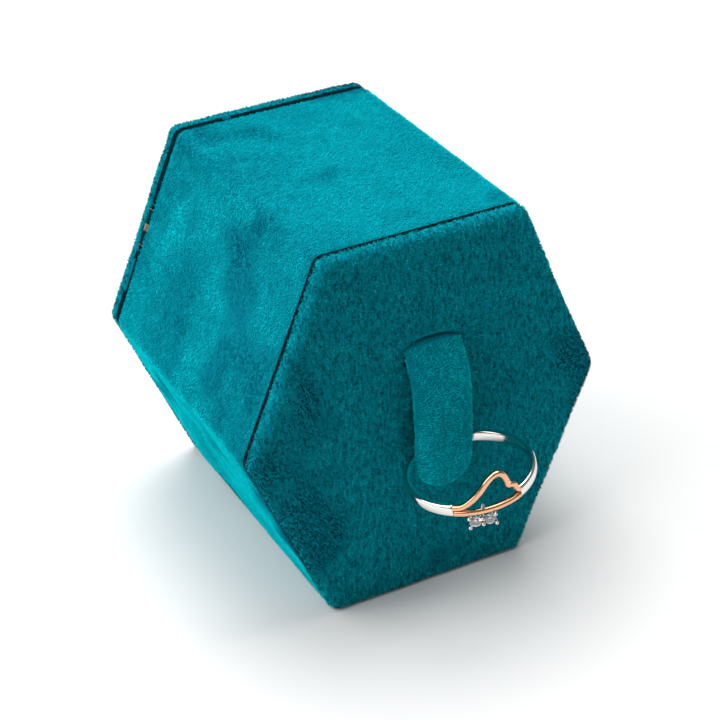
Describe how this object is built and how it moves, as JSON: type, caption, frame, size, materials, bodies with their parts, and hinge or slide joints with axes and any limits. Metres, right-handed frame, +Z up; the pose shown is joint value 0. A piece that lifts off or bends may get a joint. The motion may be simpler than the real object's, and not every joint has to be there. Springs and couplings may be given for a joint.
{
  "type": "ring box",
  "caption": "Hexagonal velvet ring box on its side, with a hinged back lid and a front tongue that holds a ring.",
  "frame": {"origin": "centre of the bottom face that the box rests on", "axes": "+Z up; -Y out of the front face with the tongue; +Y out of the lid; +X to the right as seen from the front"},
  "size_m": [0.0558, 0.0697, 0.058],
  "materials": {
    "velvet": "short cut pile velvet with a strong sheen",
    "lining": "thin flocked card",
    "board": "pressed fibreboard",
    "hinge_metal": "rose plated, polished",
    "steel": "plain",
    "magnet": "nickel plated",
    "rose_gold": "rose gold plate, polished",
    "silver": "silver, polished",
    "stone": "clear, cut and polished"
  },
  "bodies": {
    "case": {"front_velvet": "velvet", "front_board": "board", "front_lining": "lining", "side_velvet": "velvet", "panel_top": "board", "panel_upper_left": "board", "panel_lower_left": "board", "panel_bottom": "board", "panel_lower_right": "board", "panel_upper_right": "board", "inner_lining": "lining", "tongue_anchor": "steel", "tongue_rivets": "steel", "hinge_leaf_case": "hinge_metal", "hinge_pin": "hinge_metal", "hinge_brads_case": "steel", "case_magnet": "magnet"},
    "lid": {"lid_velvet": "velvet", "lid_board": "board", "lid_lining": "lining", "hinge_leaf_lid": "hinge_metal", "hinge_brads_lid": "steel", "lid_magnet": "magnet"},
    "tongue": {"tongue_core": "board", "tongue_velvet": "velvet"},
    "ring": {"ring_shank": "silver", "ring_heart": "rose_gold", "ring_strand": "rose_gold", "stone_setting": "silver", "stones": "stone"}
  },
  "joints": [
    {"name": "lid_hinge", "type": "hinge", "parent": "case", "child": "lid", "pos_m": [-0.02146, 0.0224, 0.04332], "axis": [0.3891, 0, 0.9212], "range_deg": [0, 110]},
    {"name": "tongue_flex", "type": "hinge", "parent": "case", "child": "tongue", "pos_m": [0.0005, -0.0234, 0.0415], "axis": [-1, 0, 0], "range_deg": [0, 8], "stiffness_Nm_per_rad": 0.02},
    {"name": "ring_slide", "type": "slide", "parent": "case", "child": "ring", "axis": [0, 0, -1], "range_m": [0, 0.01]}
  ]
}
